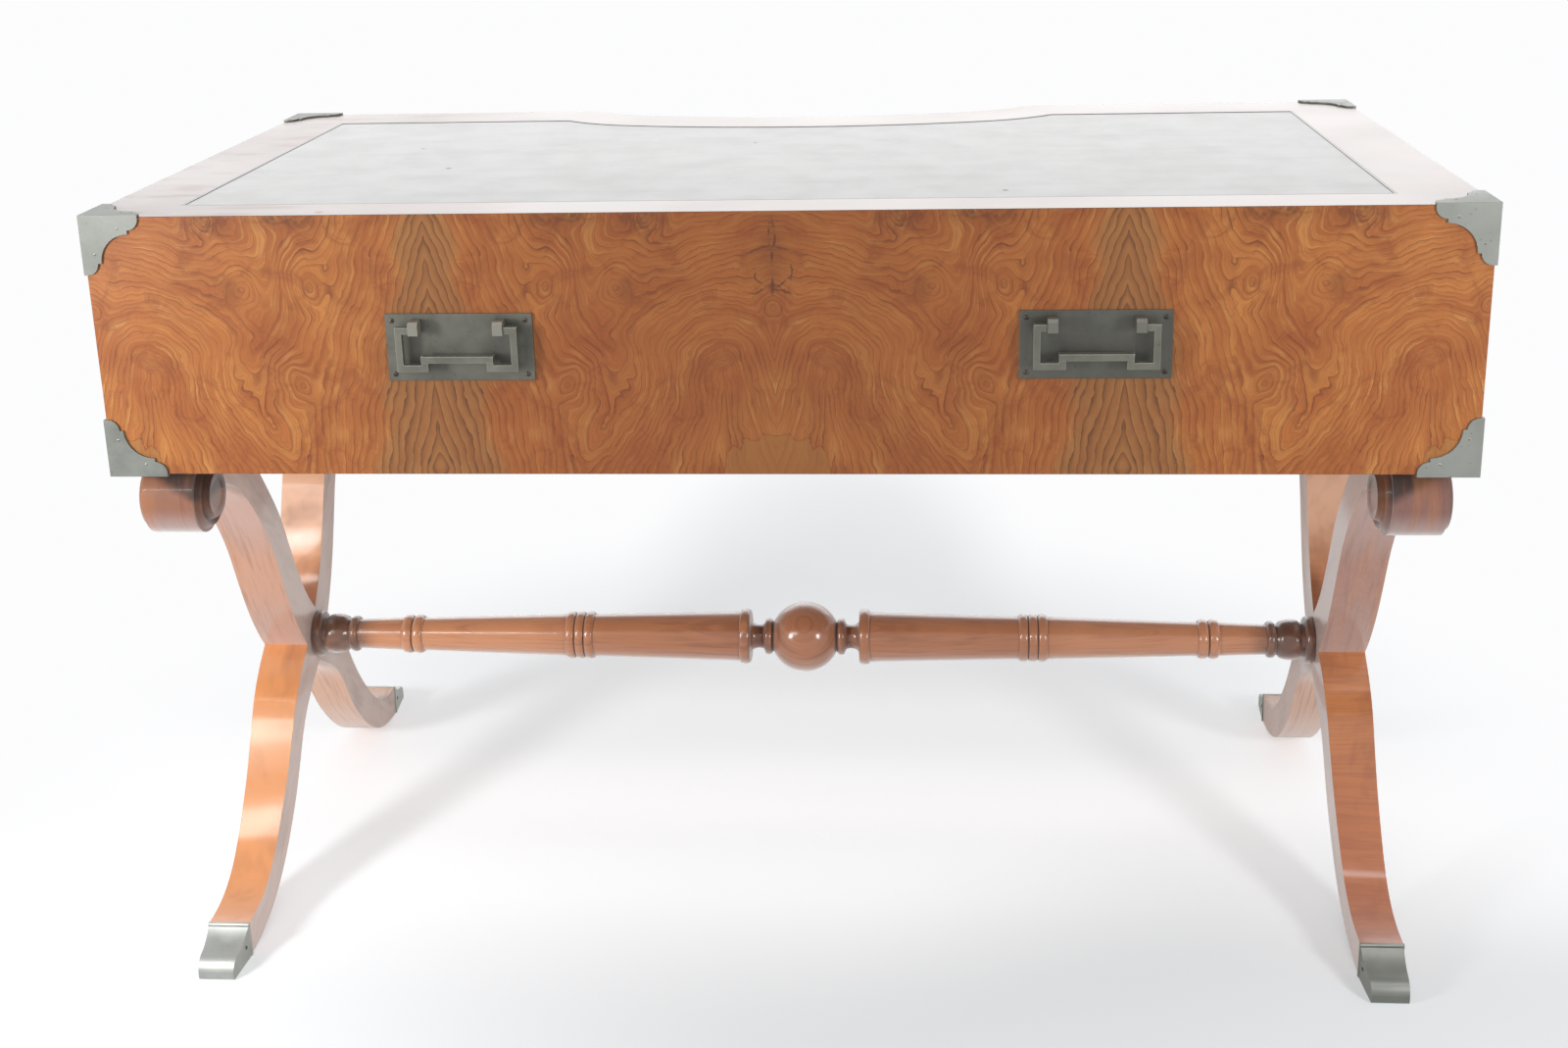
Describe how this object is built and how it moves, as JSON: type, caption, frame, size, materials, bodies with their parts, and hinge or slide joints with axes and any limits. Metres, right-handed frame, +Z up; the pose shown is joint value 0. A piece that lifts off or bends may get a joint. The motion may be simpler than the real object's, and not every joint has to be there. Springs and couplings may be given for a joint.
{
  "type": "writing desk",
  "caption": "Campaign writing desk: burl case with leather top and knee recess on halved, scrolled X legs joined by a turned stretcher; drawers and bail pulls move.",
  "frame": {"origin": "floor level under the middle of the desk", "axes": "+X along the desk, +Y towards the sitter and the drawers, +Z up; the plain long panel faces -Y"},
  "size_m": [1.22, 0.6398, 0.762],
  "materials": {
    "burl_veneer": "satin lacquer over book-matched burl veneer",
    "leg_wood": "satin polished, straight grained",
    "drawer_wood": "plain, waxed",
    "dark_wood": "flush dark line",
    "gunmetal": "dull grey-green, brushed",
    "toe_metal": "satin, rubbed bright at the edges",
    "screw_steel": "dull",
    "leather": "worn, mottled"
  },
  "bodies": {
    "desk": {"top_board": "burl_veneer", "long_panel": "burl_veneer", "end_panel_left": "burl_veneer", "end_panel_right": "burl_veneer", "writing_leather": "leather", "dark_string": "dark_wood", "case_floor": "drawer_wood", "partition_left": "burl_veneer", "stile_left": "burl_veneer", "drawer_guide_left": "drawer_wood", "partition_right": "burl_veneer", "stile_right": "burl_veneer", "drawer_guide_right": "drawer_wood", "panel_handle_plate_left": "gunmetal", "panel_handle_plate_right": "gunmetal", "panel_handle_screws": "screw_steel", "leg_left_panel_scroll": "leg_wood", "leg_left_sitter_scroll": "leg_wood", "toe_cap_left_panel": "toe_metal", "toe_cap_left_sitter": "toe_metal", "leg_right_panel_scroll": "leg_wood", "leg_right_sitter_scroll": "leg_wood", "toe_cap_right_panel": "toe_metal", "toe_cap_right_sitter": "toe_metal", "stretcher": "leg_wood", "toe_cap_pins": "screw_steel", "corner_plates_upper": "gunmetal", "corner_plates_lower": "gunmetal"},
    "panel_bail_left": {"panel_bail_left": "gunmetal"},
    "panel_bail_right": {"panel_bail_right": "gunmetal"},
    "drawer_left": {"drawer_left_front": "burl_veneer", "drawer_left_box": "drawer_wood", "drawer_left_bottom": "drawer_wood", "drawer_left_handle_plate": "gunmetal", "drawer_left_handle_screws": "screw_steel"},
    "drawer_left_bail": {"drawer_left_bail": "gunmetal"},
    "drawer_right": {"drawer_right_front": "burl_veneer", "drawer_right_box": "drawer_wood", "drawer_right_bottom": "drawer_wood", "drawer_right_handle_plate": "gunmetal", "drawer_right_handle_screws": "screw_steel"},
    "drawer_right_bail": {"drawer_right_bail": "gunmetal"},
    "drawer_centre": {"drawer_centre_front": "burl_veneer", "drawer_centre_box": "drawer_wood", "drawer_centre_bottom": "drawer_wood", "drawer_centre_handle_plate": "gunmetal", "drawer_centre_handle_screws": "screw_steel"},
    "drawer_centre_bail": {"drawer_centre_bail": "gunmetal"}
  },
  "joints": [
    {"name": "drawer_left_slide", "type": "slide", "parent": "desk", "child": "drawer_left", "axis": [0, 1, 0], "range_m": [0, 0.36]},
    {"name": "drawer_right_slide", "type": "slide", "parent": "desk", "child": "drawer_right", "axis": [0, 1, 0], "range_m": [0, 0.36]},
    {"name": "drawer_centre_slide", "type": "slide", "parent": "desk", "child": "drawer_centre", "axis": [0, 1, 0], "range_m": [0, 0.36]},
    {"name": "panel_bail_left_swing", "type": "hinge", "parent": "desk", "child": "panel_bail_left", "pos_m": [-0.2775, -0.3156, 0.6592], "axis": [-1, 0, 0], "range_deg": [-9, 95]},
    {"name": "panel_bail_right_swing", "type": "hinge", "parent": "desk", "child": "panel_bail_right", "pos_m": [0.2775, -0.3156, 0.6592], "axis": [-1, 0, 0], "range_deg": [-9, 95]},
    {"name": "drawer_left_bail_swing", "type": "hinge", "parent": "drawer_left", "child": "drawer_left_bail", "pos_m": [-0.413, 0.3156, 0.6592], "axis": [1, 0, 0], "range_deg": [-9, 95]},
    {"name": "drawer_right_bail_swing", "type": "hinge", "parent": "drawer_right", "child": "drawer_right_bail", "pos_m": [0.413, 0.3156, 0.6592], "axis": [1, 0, 0], "range_deg": [-9, 95]},
    {"name": "drawer_centre_bail_swing", "type": "hinge", "parent": "drawer_centre", "child": "drawer_centre_bail", "pos_m": [0, 0.2496, 0.6592], "axis": [1, 0, 0], "range_deg": [-9, 95]}
  ]
}
